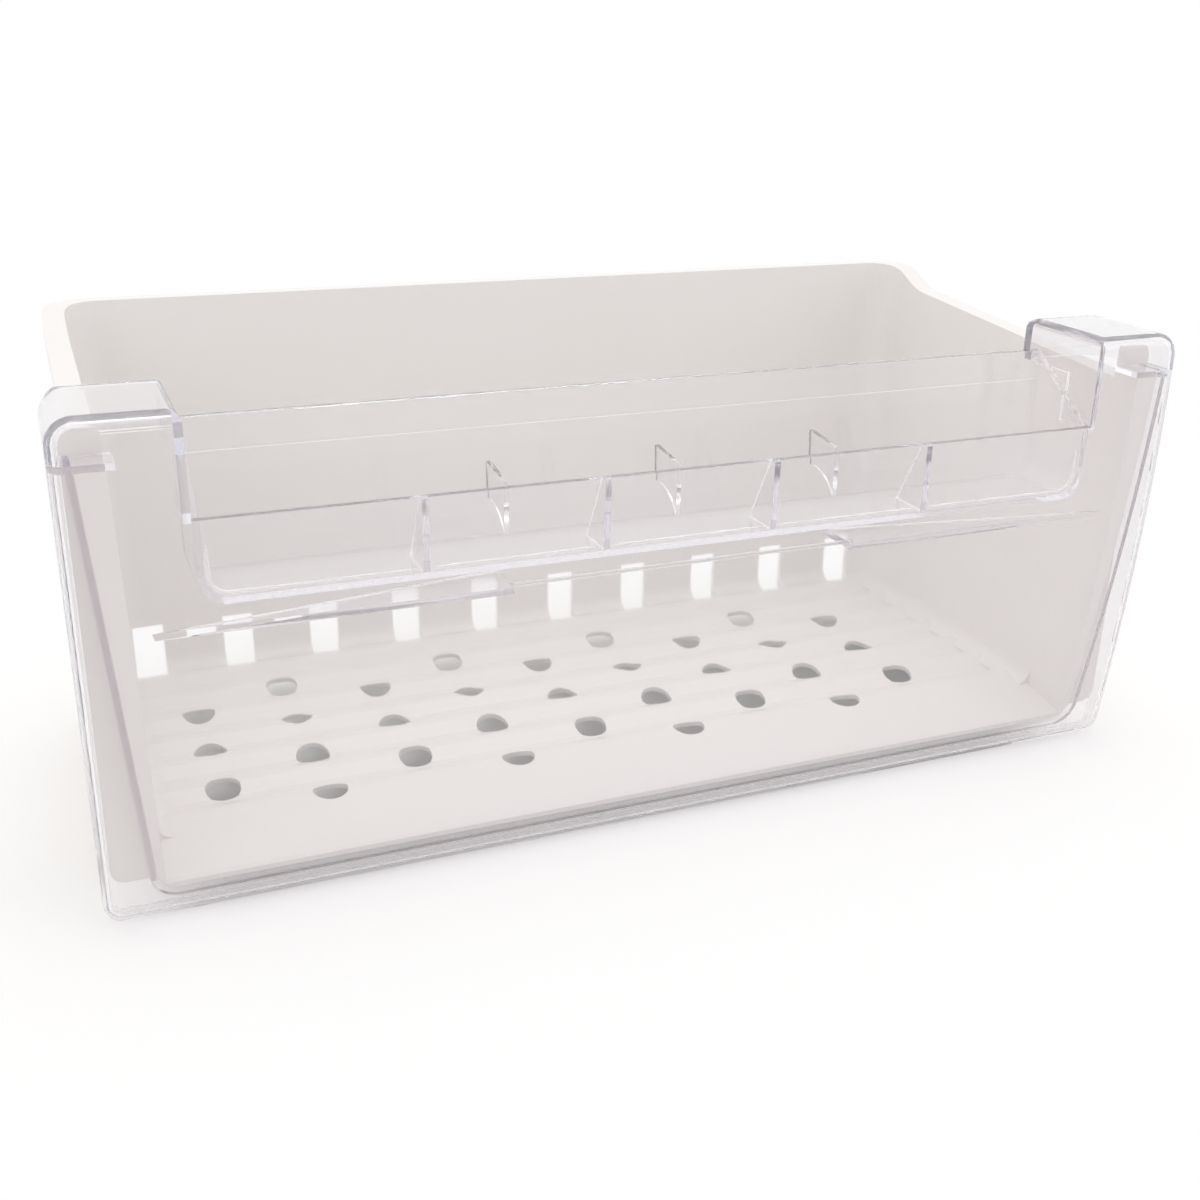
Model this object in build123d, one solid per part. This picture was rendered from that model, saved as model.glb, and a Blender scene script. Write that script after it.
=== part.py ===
from build123d import *
import math
import os

# Freezer drawer: a white moulded basket, a clear front cover with two corner
# towers, and a clear handle trough welded into the cover. Millimetres, +Z up,
# front towards -Y, origin at the centre of the footprint.

# Front cover
cover_width = 430.0
cover_height = 183.0
lip_drop = 35.0
cover_wall = 2.6
bow_radius = 1065.0
bow_crest_drop = 3.0
return_depth = 18.5
tower_depth = 47.5
tower_width = 40.0
tower_cap = 17.0
edge_round = 5.0
bottom_corner_round = 7.0
top_corner_round = 9.0
tower_back_round = 12.0
tower_top_round = 4.0

# Locating rib on the cover's inside, and the stiffening shelf in each tower
rib_wall = 2.0
rib_side_gap = 5.0
rib_taper = 12.0
rib_bottom = 8.0
rib_corner_round = 10.0
shelf_width = 17.0
shelf_wall = 2.4

# Ledges under the handle, one each side of a finger notch
ledge_drop = 9.5
ledge_wall = 2.6
ledge_inset = 25.0
ledge_depth = 18.5
notch_half_width = 68.0
notch_bead = 1.2

# Gussets behind the lip
gusset_places = (33.5, 99.5)
gusset_wall = 2.4
gusset_base_depth = 17.0
gusset_top_depth = 4.0

# Handle trough
weld_gap = 0.2
trough_wall = 2.4
trough_depth = 27.5
trough_back_bottom = 32.5
trough_lean = 4.0
trough_back_drop = 11.3
trough_corner_round = 9.0
band_width = 11.7
band_proud = 0.7
fin_spacing = 66.7
fin_wall = 1.8
fin_drop = 0.5
fin_height = 21.3
fin_root = 13.5
fin_reach = 17.5
fin_top_fall = 2.0

# Basket walls
basket_wall = 2.4
floor_height = 16.0
floor_wall = 2.0
floor_inset = 21.5
side_draft = 5.0
basket_back = 189.5
back_draft = 4.0
plan_round = 14.0
back_fillet = 6.0
side_fillet = 7.0

# Rim with a turned-down skirt
rim_side_overhang = 6.1
rim_back_overhang = 4.5
rim_wall = 3.0
rim_skirt = 7.5
rim_front_drop = 20.0
rim_step_drop = 9.8
rim_step_run = 34.0

# Front frame of the basket, which the cover slips over
frame_wall = 2.5
frame_clearance = 0.5
frame_bottom = 14.5
frame_drop = 6.0
collar_gap = 2.0
collar_wall = 2.0
sill_height = 12.6
sill_run = 21.5
frame_corner_round = 6.0

# Floor pleated from side to side, with drain holes
hole_diameter = 13.6
hole_flat_count = 18
hole_side_gap = 39.9
hole_shift = -12.0
hole_row_pitch = 16.5
hole_first_row = 49.8
hole_row_counts = (4, 5, 4, 5, 4, 5, 4)
pleat_height = 1.3
pleat_flat = 3.4
rows_per_pleat = 1.25

# Vent slots along the foot of the back wall
slot_count = 10
slot_side_gap = 14.4
slot_width = 13.4
slot_top = 38.0

# Skids under the floor
skid_inset = 12.0
skid_wall = 5.0
skid_end_gap = 20.0

# Distances along Y are measured back from the crest of the bowed face.
beyond = 400.0
half_width = cover_width / 2
tower_inside = half_width - tower_width
tower_base = cover_height - tower_cap
lip_height = cover_height - lip_drop
bow_crest_height = lip_height - bow_crest_drop
rib_half_top = half_width - rib_side_gap
rib_half_bottom = rib_half_top - rib_taper
trough_floor = lip_height - trough_depth
trough_back_top = trough_back_bottom + trough_lean
trough_back_height = cover_height - trough_back_drop
band_height = trough_back_height - band_width
ledge_height = trough_floor - ledge_drop
ledge_half_span = half_width - ledge_inset
fin_top = lip_height - fin_drop
fin_tip = fin_top - fin_height
fin_heel = fin_top - fin_root
floor_half_width = half_width - floor_inset
skid_place = floor_half_width - skid_inset
mouth_half_width = floor_half_width + side_draft
rim_half_width = mouth_half_width + basket_wall + rim_side_overhang
rim_back = basket_back + basket_wall + rim_back_overhang
rim_back_height = cover_height
rim_step_height = rim_back_height - rim_step_drop
rim_front_height = rim_back_height - rim_front_drop
frame_front = return_depth - frame_wall - frame_clearance
frame_back = frame_front + frame_wall
frame_top = cover_height - frame_drop
crease = frame_front + sill_run
hole_pitch = 2 * (floor_half_width - hole_side_gap) / (max(hole_row_counts) - 1)
half_pleat = rows_per_pleat * hole_row_pitch / 2
slot_pitch = 2 * (floor_half_width - slot_side_gap) / (slot_count - 1)


def face_y(height, depth=0.0):
    """Y of the bowed face at a height, moved back into the wall by depth."""
    radius = bow_radius - depth
    return bow_radius - math.sqrt(radius**2 - (height - bow_crest_height) ** 2)


def along_x(profile, half_length):
    """Extrudes a YZ profile both ways along X."""
    return extrude(Plane.YZ * profile, amount=half_length, both=True)


def along_y(profile, start, end):
    """Extrudes an XZ profile from one Y to another."""
    return extrude(Plane.XZ.offset(-end) * profile, amount=end - start)


def block(x_range, y_range, z_range):
    """A box given by its limits on each axis."""
    middle = [sum(limits) / 2 for limits in (x_range, y_range, z_range)]
    sizes = [limits[1] - limits[0] for limits in (x_range, y_range, z_range)]
    return Pos(*middle) * Box(*sizes)


def both_sides(solid):
    """A solid and its mirror image across the middle plane."""
    return [solid, mirror(solid, Plane.YZ)]


def behind_face(depth, low, high, back):
    """The YZ region between the bowed face, moved back by depth, and a plane at the back."""
    middle = (low + high) / 2
    start = (face_y(low, depth), low)
    end = (face_y(high, depth), high)
    arc = ThreePointArc(start, (face_y(middle, depth), middle), end)
    return make_face([arc, Polyline(end, (back, high), (back, low), start)])


def cover_block(inset):
    """The cover's outer form, or the hollow in it when inset by the wall."""
    low = inset
    high = cover_height - inset
    half = half_width - inset
    back = tower_depth - inset
    body = along_x(behind_face(inset, low, high, back + beyond), half)
    for height, radius in ((high, top_corner_round), (low, bottom_corner_round)):
        corners = [e for e in body.edges().filter_by(Axis.Y) if abs(e.center().Z - height) < 0.1]
        body = fillet(corners, radius - inset)
    front = body.faces().sort_by(Axis.Y)[0]
    body = fillet(front.edges(), edge_round - inset)
    plan = Pos(0, back - beyond / 2) * RectangleRounded(2 * half, beyond, tower_back_round - inset)
    side = Pos(back - beyond / 2, high - beyond / 2) * RectangleRounded(beyond, beyond, tower_top_round - inset)
    return body & extrude(plan, amount=beyond) & along_x(side, half_width)


def mouth_outline():
    """The opening between the towers in XZ, flared where it rounds the towers' top edges."""
    outline = Pos(0, lip_height + beyond / 2) * Rectangle(2 * tower_inside, beyond)
    middle = (tower_inside + tower_top_round, cover_height - tower_top_round)
    for side in (-1, 1):
        square = Pos(side * (middle[0] - tower_top_round / 2), middle[1] + tower_top_round / 2)
        flare = square * Rectangle(tower_top_round, tower_top_round)
        outline += flare - Pos(side * middle[0], middle[1]) * Circle(tower_top_round)
    return outline


def rib_outline(inset):
    """The locating rib's tapered U in XZ, moved inwards by inset."""
    slope = (rib_half_top - rib_half_bottom) / (tower_base - rib_bottom)
    low = rib_bottom + inset
    foot = rib_half_bottom - inset + slope * inset
    head = rib_half_top - inset
    outline = Polygon((-head, tower_base), (-foot, low), (foot, low), (head, tower_base), align=None)
    corners = [v for v in outline.vertices() if v.Y < tower_base / 2]
    return fillet(corners, rib_corner_round - inset)


def gusset(place):
    """A tapered rib that stiffens the lip from behind and stands over the trough's floor."""
    base = trough_floor + weld_gap
    head = lip_height - cover_wall / 2
    side = Polygon(
        (-cover_wall, base), (-cover_wall, head), (face_y(head, cover_wall) + gusset_top_depth, head),
        (face_y(base, cover_wall) + gusset_base_depth, base), align=None,
    )
    return Pos(place, 0, 0) * along_x(side, gusset_wall / 2)


def make_cover():
    """Clear front cover: bowed face, lip, towers, returns, locating rib, ledges and gussets."""
    outer = cover_block(0)
    skin = cover_wall / 2
    tower_wall = block(
        (tower_inside, tower_inside + cover_wall), (-beyond, tower_depth), (lip_height - skin, beyond)
    )
    cover = outer - cover_block(cover_wall)
    for piece in both_sides(tower_wall):
        cover += piece & outer
    cover -= block((-beyond, beyond), (return_depth, beyond), (-1, tower_base))
    cover -= along_y(mouth_outline(), -beyond, beyond)

    shelf = block(
        (half_width - cover_wall - shelf_width, half_width - skin), (-beyond, frame_front - weld_gap),
        (tower_base, tower_base + shelf_wall),
    )
    ledge_plan = Polygon(
        (ledge_half_span, face_y(ledge_height, skin)), (notch_half_width, face_y(ledge_height, skin)),
        (notch_half_width, face_y(ledge_height, cover_wall) + ledge_depth),
        (ledge_half_span, face_y(ledge_height, cover_wall)), align=None,
    )
    ledge = extrude(Pos(0, 0, ledge_height) * ledge_plan, amount=ledge_wall)
    added = both_sides(shelf) + both_sides(ledge)
    for place in gusset_places:
        added += both_sides(gusset(place))
    rib = along_y(rib_outline(0) - rib_outline(rib_wall), -beyond, frame_front - weld_gap)
    bead_back = face_y(ledge_height, cover_wall) + notch_bead
    bead_half = notch_half_width + notch_bead
    bead = block((-bead_half, bead_half), (-beyond, bead_back), (ledge_height, ledge_height + notch_bead))
    for piece in added + [rib, bead]:
        cover += piece & outer
    return cover


def trough_back(height):
    """Y of the leaning back wall's front at a height."""
    lean = (trough_back_top - trough_back_bottom) / (trough_back_height - trough_floor)
    return trough_back_bottom + lean * (height - trough_floor)


def trough_cup(inset):
    """The trough's U-shaped section in XZ, moved inwards by inset."""
    half = tower_inside - weld_gap - inset
    low = trough_floor - trough_wall + inset
    high = low + cover_height
    return Pos(0, (low + high) / 2) * RectangleRounded(2 * half, high - low, trough_corner_round - inset)


def make_fin():
    """A hooked fin on the trough's back wall, with a curved lower edge."""
    root = trough_back(fin_heel) + trough_wall / 2
    head = trough_back(fin_top) + trough_wall / 2
    front = trough_back(fin_tip) - fin_reach
    tip = (front, fin_tip)
    heel = (root, fin_heel)
    outline = Polyline(heel, (head, fin_top), (front, fin_top - fin_top_fall), tip)
    lower = TangentArc(heel, tip, tangent=(-1, 0.2))
    return along_x(make_face([outline, lower]), fin_wall / 2)


def make_trough():
    """Clear handle trough: floor, side walls, leaning back wall with a thick band, and fins."""
    low = trough_floor - trough_wall
    high = trough_back_height
    back_low = trough_back(low) + trough_wall
    back_high = trough_back(high) + trough_wall
    side_view = Polygon(
        (-beyond, low), (-beyond, lip_height), (face_y(lip_height, cover_wall), lip_height),
        (trough_back(high), high), (back_high, high), (back_low, low), align=None,
    )
    back_view = Polygon(
        (trough_back(low), low), (trough_back(band_height), band_height),
        (trough_back(band_height) - band_proud, band_height), (trough_back(high) - band_proud, high),
        (back_high, high), (back_low, low), align=None,
    )
    cup = along_y(trough_cup(0), -beyond, beyond)
    walls = cup - along_y(trough_cup(trough_wall), -beyond, beyond)
    trough = walls & along_x(side_view, half_width)
    trough += along_x(back_view, half_width) & cup
    for place in (-fin_spacing, 0, fin_spacing):
        trough += Pos(place, 0, 0) * make_fin()
    return trough & along_x(behind_face(cover_wall + weld_gap, 0, cover_height, beyond), half_width)


def tapered_box(outset, low, high):
    """The basket's tapered inner form, widened by outset, from one height to another."""
    span = rim_back_height - floor_height
    front = -back_fillet - plan_round

    def section(height):
        share = (height - floor_height) / span
        half = floor_half_width + (mouth_half_width - floor_half_width) * share + outset
        back = basket_back - back_draft * (1 - share) + outset
        outline = RectangleRounded(2 * half, back - front, plan_round + outset)
        return Pos(0, (back + front) / 2, height) * outline

    return loft([section(low), section(high)])


def under_rim(drop):
    """The space below the rim's top line, lowered by drop."""
    front = -2 * plan_round
    step_start = basket_back - rim_step_run
    low = rim_front_height - drop
    middle = rim_step_height - drop
    high = rim_back_height - drop
    slope = (rim_step_height - rim_front_height) / (step_start - frame_front)
    rise = Polyline((front, low), (frame_front, low), (step_start, middle))
    ease = Spline((step_start, middle), (basket_back, high), tangents=[(1, slope), (1, 0)])
    rest = Polyline((basket_back, high), (beyond, high), (beyond, 0), (front, 0), (front, low))
    return along_x(make_face([rise, ease, rest]), beyond)


def rim_plan(inset):
    """The rim's outline as an upright prism, moved inwards by inset."""
    front = -plan_round
    half = rim_half_width - inset
    back = rim_back - inset
    corner = plan_round + basket_wall + rim_back_overhang - inset
    outline = RectangleRounded(2 * half, back - front, corner)
    return extrude(Pos(0, (back + front) / 2) * outline, amount=beyond)


def floor_line(drop):
    """Points of the floor in YZ, lowered by drop: a sloped sill, then pleats with flat crests and valleys."""
    points = [(frame_front, sill_height - drop), (crease, floor_height - drop)]
    middle = hole_first_row
    swing = pleat_height
    while middle < basket_back + half_pleat:
        height = floor_height + swing - drop
        points += [(middle - pleat_flat / 2, height), (middle + pleat_flat / 2, height)]
        middle += half_pleat
        swing = -swing
    return points


def cove(radius):
    """The section of an inside fillet, with its corner at the origin and its root in the walls."""
    arc = RadiusArc((-radius, 0), (0, radius), -radius)
    root = basket_wall / 2
    drop = pleat_height + floor_wall / 4
    rest = Polyline((0, radius), (root, radius), (root, -drop), (-radius, -drop), (-radius, 0))
    return make_face([arc, rest])


def collar_block(inset):
    """The frame's raised collar, which stands in the cover's rib, or the pocket behind it when inset."""
    outline = rib_outline(rib_wall + frame_clearance + inset)
    depth = cover_wall + collar_gap + inset
    collar = along_y(outline, -beyond, frame_back)
    collar &= along_x(behind_face(depth, 0, cover_height, beyond), half_width)
    return collar - block((-beyond, beyond), (-beyond, beyond), (tower_base - frame_clearance - inset, beyond))


def make_basket():
    """White basket: tapered walls, stepped rim, front frame, pleated floor, slots and skids."""
    low = floor_height - pleat_height - floor_wall
    high = rim_back_height + rim_skirt
    all_x = (-beyond, beyond)
    cavity = tapered_box(0, low, high)
    basket = (tapered_box(basket_wall, low, high) - cavity) & under_rim(0)
    basket += (rim_plan(0) - cavity) & (under_rim(0) - under_rim(rim_wall))
    basket += (rim_plan(0) - rim_plan(rim_wall)) & (under_rim(0) - under_rim(rim_skirt))
    basket -= block(all_x, (-beyond, frame_front), (-beyond, beyond))

    inside = tapered_box(basket_wall / 2, 0, high)
    floor = Polygon(*floor_line(0), *reversed(floor_line(floor_wall)), align=None)
    basket += along_x(floor, beyond) & inside
    floor_back = basket_back - back_draft
    side_cove = along_y(Pos(floor_half_width, floor_height) * cove(side_fillet), crease, floor_back)
    for piece in both_sides(side_cove) + [along_x(Pos(floor_back, floor_height) * cove(back_fillet), beyond)]:
        basket += piece & inside

    frame_half = half_width - cover_wall - frame_clearance
    frame_outline = RectangleRounded(2 * frame_half, frame_top - frame_bottom, frame_corner_round)
    frame_outline = Pos(0, (frame_top + frame_bottom) / 2) * frame_outline
    frame = along_y(frame_outline, frame_front, frame_back) + collar_block(0)
    basket += frame - tapered_box(0, sill_height, high)
    basket -= collar_block(collar_wall) - tapered_box(basket_wall, 0, high)

    skid_ends = (crease, floor_back - skid_end_gap)
    skid = block((skid_place - skid_wall / 2, skid_place + skid_wall / 2), skid_ends, (0, floor_height))
    above = floor_line(floor_wall / 2)
    skid -= along_x(Polygon(*above, (above[-1][0], beyond), (above[0][0], beyond), align=None), beyond)
    for piece in both_sides(skid):
        basket += piece

    cutters = []
    drill_reach = pleat_height + 2 * floor_wall
    drill = extrude(RegularPolygon(hole_diameter / 2, hole_flat_count), amount=drill_reach, both=True)
    for row, count in enumerate(hole_row_counts):
        for i in range(count):
            x = hole_shift + (i - (count - 1) / 2) * hole_pitch
            y = hole_first_row + row * hole_row_pitch
            cutters.append(Pos(x, y, floor_height) * drill)
    for i in range(slot_count):
        x = (i - (slot_count - 1) / 2) * slot_pitch
        cutters.append(block(
            (x - slot_width / 2, x + slot_width / 2), (floor_back - back_fillet, rim_back),
            (0, slot_top),
        ))
    return basket - cutters


parts = {"basket": make_basket(), "front_cover": make_cover(), "handle_trough": make_trough()}
middle_y = rim_back / 2

os.makedirs("parts", exist_ok=True)
for name, solid in parts.items():
    export_step(Pos(0, -middle_y, 0) * solid, f"parts/{name}.step")
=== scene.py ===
import math

import bpy
import numpy as np
from mathutils import Matrix, Vector


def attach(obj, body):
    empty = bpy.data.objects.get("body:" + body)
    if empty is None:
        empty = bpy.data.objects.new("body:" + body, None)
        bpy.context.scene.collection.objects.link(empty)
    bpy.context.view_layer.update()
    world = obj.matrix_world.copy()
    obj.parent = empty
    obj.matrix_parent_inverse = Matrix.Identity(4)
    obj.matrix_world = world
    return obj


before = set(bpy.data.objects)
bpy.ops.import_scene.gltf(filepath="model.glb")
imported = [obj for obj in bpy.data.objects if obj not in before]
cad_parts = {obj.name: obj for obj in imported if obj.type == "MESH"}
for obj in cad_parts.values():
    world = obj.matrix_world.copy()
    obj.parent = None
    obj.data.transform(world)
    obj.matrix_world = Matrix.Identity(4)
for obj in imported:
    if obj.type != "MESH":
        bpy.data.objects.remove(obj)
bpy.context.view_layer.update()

print("frame loaded:", sorted(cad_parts))


class Sock:  # an output socket whose arithmetic adds Math nodes
    def __init__(self, finish, socket):
        self.finish = finish
        self.socket = socket

    def sum(self, operation, first, second):
        return self.finish.node("ShaderNodeMath", {"operation": operation}, {0: first, 1: second})

    def __add__(self, other):
        return self.sum("ADD", self, other)

    def __radd__(self, other):
        return self.sum("ADD", other, self)

    def __sub__(self, other):
        return self.sum("SUBTRACT", self, other)

    def __rsub__(self, other):
        return self.sum("SUBTRACT", other, self)

    def __mul__(self, other):
        return self.sum("MULTIPLY", self, other)

    def __rmul__(self, other):
        return self.sum("MULTIPLY", other, self)


class Finish:  # a node tree with one way to add a node
    def __init__(self, tree):
        self.tree = tree
        tree.nodes.clear()

    def node(self, kind, settings=None, inputs=None, output=0):
        made = self.tree.nodes.new(kind)
        for key, value in (settings or {}).items():
            if key == "stops":
                self.setStops(made.color_ramp, value)
            else:
                setattr(made, key, value)
        for key, value in (inputs or {}).items():
            if isinstance(value, Sock):
                self.tree.links.new(value.socket, made.inputs[key])
            else:
                made.inputs[key].default_value = value
        return Sock(self, made.outputs[output]) if made.outputs else made

    def setStops(self, ramp, stops):
        while len(ramp.elements) < len(stops):
            ramp.elements.new(1.0)
        for element, (place, shade) in zip(ramp.elements, stops):
            element.position = place
            element.color = (shade, shade, shade, 1.0)

    def noise(self, scale, detail, stretch=(1.0, 1.0, 1.0)):
        where = self.node("ShaderNodeTexCoord", output="Object")
        placed = self.node("ShaderNodeMapping", {}, {"Vector": where, "Scale": stretch})
        return self.node("ShaderNodeTexNoise", {}, {"Vector": placed, "Scale": scale, "Detail": detail})

    def ramp(self, value, stops):
        return self.node("ShaderNodeValToRGB", {"stops": stops}, {"Fac": value})

    def blend(self, factor, first, second):  # colours go through a Mix node
        made = self.node("ShaderNodeMix", {"data_type": "RGBA"}, {0: factor}, 2).socket.node
        made.inputs[6].default_value = (*first, 1.0)
        made.inputs[7].default_value = (*second, 1.0)
        return Sock(self, made.outputs[2])


def newFinish(name):
    material = bpy.data.materials.new(name)
    material.use_nodes = True
    return material, Finish(material.node_tree)


# white moulded plastic: fine grain, faint cloudy tone, rubbed streaks along the pull direction
basketPlastic = {
    "pale": (0.875, 0.855, 0.838),
    "deep": (0.835, 0.812, 0.795),
    "cloudScale": 9.0,
    "cloudDetail": 4.0,
    "cloudMiddle": 0.5,
    "cloudRough": 0.10,
    "grainScale": 1400.0,
    "grainDetail": 2.0,
    "grainDepth": 0.00002,
    "grainStrength": 0.35,
    "streakScale": 60.0,
    "streakDetail": 3.0,
    "streakStretch": (6.0, 0.5, 3.0),
    "streakStops": [(0.56, 0.0), (0.74, 1.0)],
    "streakRough": 0.09,
    "roughness": 0.36,
    "ior": 1.5,
}


def makeBasketPlastic(values):
    material, finish = newFinish("whiteMouldedPlastic")
    cloud = finish.noise(values["cloudScale"], values["cloudDetail"])
    grain = finish.noise(values["grainScale"], values["grainDetail"])
    streakNoise = finish.noise(values["streakScale"], values["streakDetail"], values["streakStretch"])
    streak = finish.ramp(streakNoise, values["streakStops"])
    bump = finish.node("ShaderNodeBump", {}, {
        "Height": grain,
        "Strength": values["grainStrength"],
        "Distance": values["grainDepth"],
    })
    cloudRough = values["cloudRough"] * (cloud - values["cloudMiddle"])
    surface = finish.node("ShaderNodeBsdfPrincipled", {}, {
        "Base Color": finish.blend(cloud, values["deep"], values["pale"]),
        "Roughness": values["roughness"] + cloudRough + values["streakRough"] * streak,
        "IOR": values["ior"],
        "Normal": bump,
    })
    finish.node("ShaderNodeOutputMaterial", {}, {"Surface": surface})
    return material


# clear moulded plastic: solid refraction, slow flow waves, hairline rubs, a violet cast where it is deep
clearCover = {
    "name": "clearCoverPlastic",
    "tint": (0.982, 0.973, 0.976),
    "deepShare": 0.985,
    "through": (0.935, 0.925, 0.925, 1.0),  # what lamps and bounced light keep at each surface
    "clarity": 0.945,
    "flowScale": 11.0,
    "flowDetail": 1.0,
    "flowDepth": 0.00008,
    "flowStrength": 0.25,
    "rubScale": 120.0,
    "rubDetail": 4.0,
    "rubStretch": (0.4, 4.0, 5.0),
    "rubStops": [(0.60, 0.0), (0.80, 1.0)],
    "rubRough": 0.05,
    "roughness": 0.04,
    "ior": 1.5,
    "soak": (0.55, 0.52, 0.7, 1.0),
    "soakDensity": 15.0,
}
clearTrough = {
    **clearCover,
    "name": "clearTroughPlastic",
    "tint": (0.985, 0.98, 0.986),
    "through": (0.975, 0.968, 0.968, 1.0),
    "flowScale": 17.0,
    "soakDensity": 6.0,
}
clearWeld = {
    **clearCover,
    "name": "meltedWeldPlastic",
    "tint": (0.995, 0.993, 0.995),
    "clarity": 0.7,
    "flowScale": 300.0,
    "flowDepth": 0.0003,
    "roughness": 0.05,
    "soakDensity": 0.0,
}


def makeClearPlastic(values):
    material, finish = newFinish(values["name"])
    flow = finish.noise(values["flowScale"], values["flowDetail"])
    rubNoise = finish.noise(values["rubScale"], values["rubDetail"], values["rubStretch"])
    rub = finish.ramp(rubNoise, values["rubStops"])
    bump = finish.node("ShaderNodeBump", {}, {
        "Height": flow,
        "Strength": values["flowStrength"],
        "Distance": values["flowDepth"],
    })
    deep = tuple(values["deepShare"] * channel for channel in values["tint"])
    clear = finish.node("ShaderNodeBsdfPrincipled", {}, {
        "Base Color": finish.blend(flow, deep, values["tint"]),
        "Roughness": values["roughness"] + values["rubRough"] * rub,
        "IOR": values["ior"],
        "Transmission Weight": values["clarity"],
        "Normal": bump,
    })
    lamp = finish.node("ShaderNodeBsdfTransparent", {}, {"Color": values["through"]})
    bounced = finish.node("ShaderNodeLightPath", output="Is Diffuse Ray")
    shadow = finish.node("ShaderNodeLightPath", output="Is Shadow Ray")
    inner = finish.node("ShaderNodeMixShader", {}, {0: bounced, 1: clear, 2: lamp})
    outer = finish.node("ShaderNodeMixShader", {}, {0: shadow, 1: inner, 2: lamp})
    ends = {"Surface": outer}
    if values["soakDensity"] > 0.0:
        ends["Volume"] = finish.node(
            "ShaderNodeVolumeAbsorption", {}, {"Color": values["soak"], "Density": values["soakDensity"]}
        )
    finish.node("ShaderNodeOutputMaterial", {}, ends)
    return material


def dress(node, material):
    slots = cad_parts[node].data.materials
    slots.clear()
    slots.append(material)


dress("basket", makeBasketPlastic(basketPlastic))
dress("front_cover", makeClearPlastic(clearCover))
dress("handle_trough", makeClearPlastic(clearTrough))
print("mouldings dressed")

# melted weld where the trough meets the inside of the face, in runs between the gussets
weld = {
    "halfWidth": 0.1711,
    "bottom": 0.1218,
    "top": 0.139,
    "corner": 0.0062,
    "stand": 0.0013,
    "radius": 0.00095,
    "thin": 0.45,
    "thick": 0.85,
    "cornerRun": 0.012,
    "endRun": 0.004,
    "lump": 0.13,
    "lumpWaves": [(2100, 0.0), (1310, 1.0), (3700, 2.0)],
    "breaks": (-0.0995, -0.0335, 0.0335, 0.0995),
    "breakHalf": 0.0028,
    "beyond": 9.0,
    "around": 12,
    "step": 0.0006,
    "turnPoints": 24,
    "sidePoints": 20,
    "faceCrest": -0.0982,
    "faceCrestHeight": 0.145,
    "faceRadius": 1.065,
    "faceWall": 0.0026,
}


def weldPath(values):
    # a U in XZ: down the left side, round the corner, along the bottom, and up the right side
    half, low, corner = values["halfWidth"], values["bottom"], values["corner"]
    count = values["sidePoints"]
    turn = np.linspace(0.0, math.pi / 2, values["turnPoints"])
    leftSide = np.column_stack((np.full(count, -half), np.linspace(values["top"], low + corner, count)))
    turnX = -half + corner - corner * np.cos(turn)
    leftTurn = np.column_stack((turnX, low + corner - corner * np.sin(turn)))
    bottomX = np.linspace(-half + corner, half - corner, 2 * count)[:count]
    leftBottom = np.column_stack((bottomX, np.full(count, low)))
    left = np.vstack((leftSide[:-1], leftTurn[:-1], leftBottom))
    points = np.vstack((left, left[::-1] * (-1.0, 1.0)))
    run = np.concatenate(((0.0,), np.cumsum(np.hypot(*np.diff(points, axis=0).T))))
    even = np.arange(0.0, run[-1], values["step"])
    x = np.interp(even, run, points[:, 0])
    z = np.interp(even, run, points[:, 1])
    inner = values["faceRadius"] - values["faceWall"]
    y = values["faceCrest"] + values["faceRadius"] - np.sqrt(inner**2 - (z - values["faceCrestHeight"]) ** 2)
    return np.column_stack((x, y + values["stand"], z)), even


def weldTube(values):
    # rings of a lumpy radius carried along the path, each run closed to a point at its ends
    # the lumps are the product of two sines along the run plus half of a third
    path, even = weldPath(values)
    marks = np.concatenate(((-values["beyond"],), values["breaks"], (values["beyond"],)))
    vertices, faces = [], []
    base = 0
    around = values["around"]
    angle = np.linspace(0.0, 2 * math.pi, around, endpoint=False)
    for left, right in zip(marks[:-1], marks[1:]):
        keep = (path[:, 0] > left + values["breakHalf"]) & (path[:, 0] < right - values["breakHalf"])
        line, along = path[keep], even[keep]
        first, second, third = (np.sin(along * wave + start) for wave, start in values["lumpWaves"])
        lumps = first * second + 0.5 * third
        ends = np.minimum(along - along[0], along[-1] - along) / values["endRun"]
        fade = np.sqrt(np.clip(ends, 0.0, 1.0))
        cornerNear = np.exp(-((np.abs(line[:, 0]) - values["halfWidth"]) / values["cornerRun"]) ** 2)
        share = values["thin"] + (values["thick"] - values["thin"]) * cornerNear
        radius = values["radius"] * fade * (share + values["lump"] * lumps)
        tangent = np.gradient(line, axis=0)
        tangent /= np.linalg.norm(tangent, axis=1, keepdims=True)
        side = np.cross(tangent, (0.0, 1.0, 0.0))
        up = np.cross(side, tangent)
        spread = np.cos(angle)[None, :, None] * side[:, None] + np.sin(angle)[None, :, None] * up[:, None]
        rings = line[:, None] + radius[:, None, None] * spread
        count = len(line)
        i, j = np.meshgrid(np.arange(count - 1), np.arange(around), indexing="ij")
        k = (j + 1) % around
        quads = np.stack((i * around + j, i * around + k, (i + 1) * around + k, (i + 1) * around + j), -1)
        vertices.append(rings.reshape(-1, 3))
        faces.append(quads.reshape(-1, 4) + base)
        base += count * around
    return np.vstack(vertices), np.vstack(faces)


def newPiece(name, vertices, faces, material, slotName):
    mesh = bpy.data.meshes.new(name)
    mesh.from_pydata(vertices.tolist(), [], faces.tolist())
    mesh.polygons.foreach_set("use_smooth", np.ones(len(mesh.polygons), dtype=bool))
    mesh.materials.append(material)
    piece = bpy.data.objects.new(name, mesh)
    bpy.context.scene.collection.objects.link(piece)
    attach(piece, "root")


newPiece("weld_bead", *weldTube(weld), makeClearPlastic(clearWeld), "clear_trough")
print("weld made")

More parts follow.
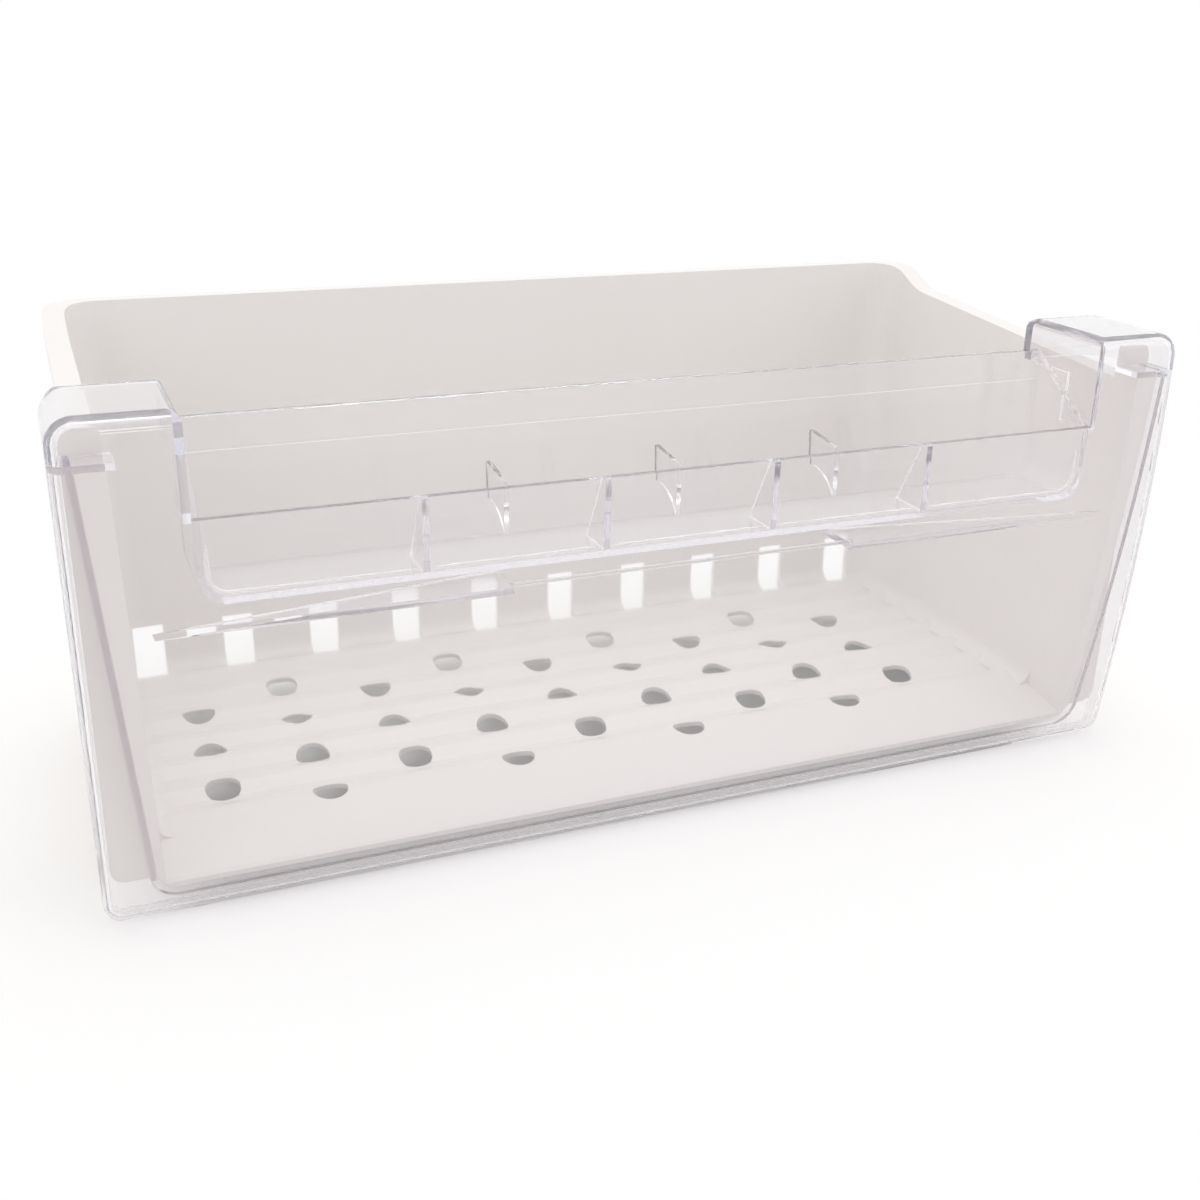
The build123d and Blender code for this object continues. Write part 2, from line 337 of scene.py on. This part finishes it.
# floor and world: white to the eye and in reflections, plain to the light, with the shadow kept
studio = {
    "floorHalf": 6.0,
    "floorDrop": 0.0003,
    "floorColour": (0.96, 0.955, 0.95, 1.0),
    "white": (1.0, 1.0, 1.0, 1.0),
    "halfX": 0.215,
    "halfY": 0.068,
    "middleY": 0.03,
    "fade": [(0.0, 0.04), (0.06, 0.45), (0.14, 0.82), (0.4, 1.0)],  # metres past that box, share of white
    "ambientFront": 0.75,
    "ambientBack": 1.04,
    "ambientColour": (1.0, 0.985, 0.975, 1.0),
}


def eyeRays(finish):
    camera = finish.node("ShaderNodeLightPath", output="Is Camera Ray")
    glossy = finish.node("ShaderNodeLightPath", output="Is Glossy Ray")
    through = finish.node("ShaderNodeLightPath", output="Is Transmission Ray")
    return camera.sum("MAXIMUM", camera, camera.sum("MAXIMUM", glossy, through))


def makeFloor(values):
    material, finish = newFinish("paleFloor")
    paper = finish.node("ShaderNodeBsdfDiffuse", {}, {"Color": values["floorColour"]})
    white = finish.node("ShaderNodeEmission", {}, {"Color": values["white"], "Strength": 1.0})
    where = finish.node("ShaderNodeTexCoord", output="Object")
    middle = (0.0, values["middleY"], 0.0)
    halves = (values["halfX"], values["halfY"], 0.0)
    centred = finish.node("ShaderNodeVectorMath", {"operation": "SUBTRACT"}, {0: where, 1: middle})
    folded = finish.node("ShaderNodeVectorMath", {"operation": "ABSOLUTE"}, {0: centred})
    past = finish.node("ShaderNodeVectorMath", {"operation": "SUBTRACT"}, {0: folded, 1: halves})
    outside = finish.node("ShaderNodeVectorMath", {"operation": "MAXIMUM"}, {0: past, 1: (0.0, 0.0, 0.0)})
    away = finish.node("ShaderNodeVectorMath", {"operation": "LENGTH"}, {0: outside}, "Value")
    share = finish.ramp(away, values["fade"]) * eyeRays(finish)
    surface = finish.node("ShaderNodeMixShader", {}, {0: share, 1: paper, 2: white})
    finish.node("ShaderNodeOutputMaterial", {}, {"Surface": surface})
    half, low = values["floorHalf"], -values["floorDrop"]
    mesh = bpy.data.meshes.new("floor")
    mesh.from_pydata(
        [(-half, -half, low), (half, -half, low), (half, half, low), (-half, half, low)], [], [(0, 1, 2, 3)]
    )
    mesh.materials.append(material)
    floor = bpy.data.objects.new("floor", mesh)
    bpy.context.scene.collection.objects.link(floor)


def makeWorld(values):
    world = bpy.data.worlds.new("studio")
    world.use_nodes = True
    bpy.context.scene.world = world
    finish = Finish(world.node_tree)
    front, back = (
        finish.node("ShaderNodeBackground", {}, {"Color": values["ambientColour"], "Strength": values[side]})
        for side in ("ambientFront", "ambientBack")
    )
    where = finish.node("ShaderNodeTexCoord", output="Generated")
    ahead = finish.node("ShaderNodeSeparateXYZ", {}, {0: where}, "Y")
    backShare = 0.5 + 0.5 * ahead  # none from straight in front, all from straight behind
    light = finish.node("ShaderNodeMixShader", {}, {0: backShare, 1: front, 2: back})
    white = finish.node("ShaderNodeBackground", {}, {"Color": values["white"], "Strength": 1.0})
    surface = finish.node("ShaderNodeMixShader", {}, {0: eyeRays(finish), 1: light, 2: white})
    finish.node("ShaderNodeOutputWorld", {}, {"Surface": surface})


lamps = {
    "top": {"place": (0.1, 0.15, 1.7), "aim": (0.0, 0.0, 0.05), "size": 1.5, "power": 6.2},
    "left": {"place": (-1.5, -1.2, 1.1), "aim": (0.0, 0.0, 0.1), "size": 1.2, "power": 3.2},
    "right": {"place": (1.6, -0.9, 0.9), "aim": (0.0, 0.0, 0.1), "size": 1.2, "power": 2.8},
}


def makeLamp(name, values):
    data = bpy.data.lights.new(name, "AREA")
    data.size = values["size"]
    data.energy = values["power"]
    lamp = bpy.data.objects.new(name, data)
    place = Vector(values["place"])
    lamp.location = place
    lamp.rotation_euler = (Vector(values["aim"]) - place).to_track_quat("-Z", "Y").to_euler()
    bpy.context.scene.collection.objects.link(lamp)


makeFloor(studio)
makeWorld(studio)
for lampName, lampValues in lamps.items():
    makeLamp(lampName, lampValues)
print("studio lit")

# camera fitted to the corners and the drain holes of the photograph
view = {
    "place": (-0.22046, -0.53305, 0.29636),
    "yaw": 0.4002,
    "pitch": 0.3894,
    "roll": -0.0226,
    "lens": 42.77,
    "sensor": 36.0,
    "near": 0.01,
    "far": 50.0,
}


def makeCamera(values):
    yaw, pitch, roll = values["yaw"], values["pitch"], values["roll"]
    ahead = Vector((math.sin(yaw) * math.cos(pitch), math.cos(yaw) * math.cos(pitch), -math.sin(pitch)))
    right = Vector((math.cos(yaw), -math.sin(yaw), 0.0))
    down = ahead.cross(right)
    turnedRight = math.cos(roll) * right + math.sin(roll) * down
    turnedDown = -math.sin(roll) * right + math.cos(roll) * down
    data = bpy.data.cameras.new("camera")
    data.lens = values["lens"]
    data.sensor_width = values["sensor"]
    data.clip_start = values["near"]
    data.clip_end = values["far"]
    camera = bpy.data.objects.new("camera", data)
    turn = Matrix((turnedRight, -turnedDown, -ahead)).transposed()
    camera.matrix_world = Matrix.Translation(values["place"]) @ turn.to_4x4()
    bpy.context.scene.collection.objects.link(camera)
    bpy.context.scene.camera = camera


makeCamera(view)
bpy.context.scene.view_settings.view_transform = "Standard"

# light has to pass many clear walls before it reaches the eye
bounces = {
    "max_bounces": 40,
    "transmission_bounces": 40,
    "glossy_bounces": 12,
    "transparent_max_bounces": 32,
}
for bounceName, bounceCount in bounces.items():
    setattr(bpy.context.scene.cycles, bounceName, bounceCount)
print("camera placed")
